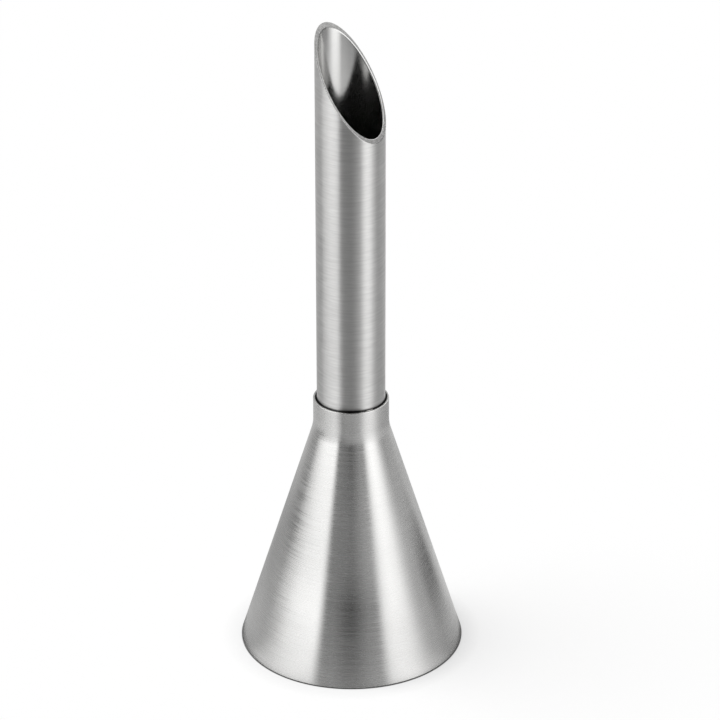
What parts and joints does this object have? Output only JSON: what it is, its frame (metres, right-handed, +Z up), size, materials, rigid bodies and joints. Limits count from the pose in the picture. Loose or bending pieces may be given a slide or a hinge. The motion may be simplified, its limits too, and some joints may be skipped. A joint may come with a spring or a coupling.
{
  "type": "piping nozzle",
  "caption": "Filling nozzle for a piping bag: a long straight tube with a slant-cut mouth, soldered into the collar of a brushed steel cone.",
  "frame": {"origin": "middle of the cone's base, on the plane that the nozzle stands on", "axes": "+Z up along the nozzle's axis to the mouth, +X towards the mouth's low side"},
  "size_m": [0.0242, 0.0242, 0.071],
  "materials": {
    "cone_steel": "brushed round the axis",
    "tube_steel": "brushed round the axis",
    "solder": "cast, satin, uneven"
  },
  "bodies": {
    "root": {"bag_cone": "cone_steel", "filling_tube": "tube_steel", "solder_ring": "solder", "rim_solder_spots": "solder"}
  },
  "joints": []
}
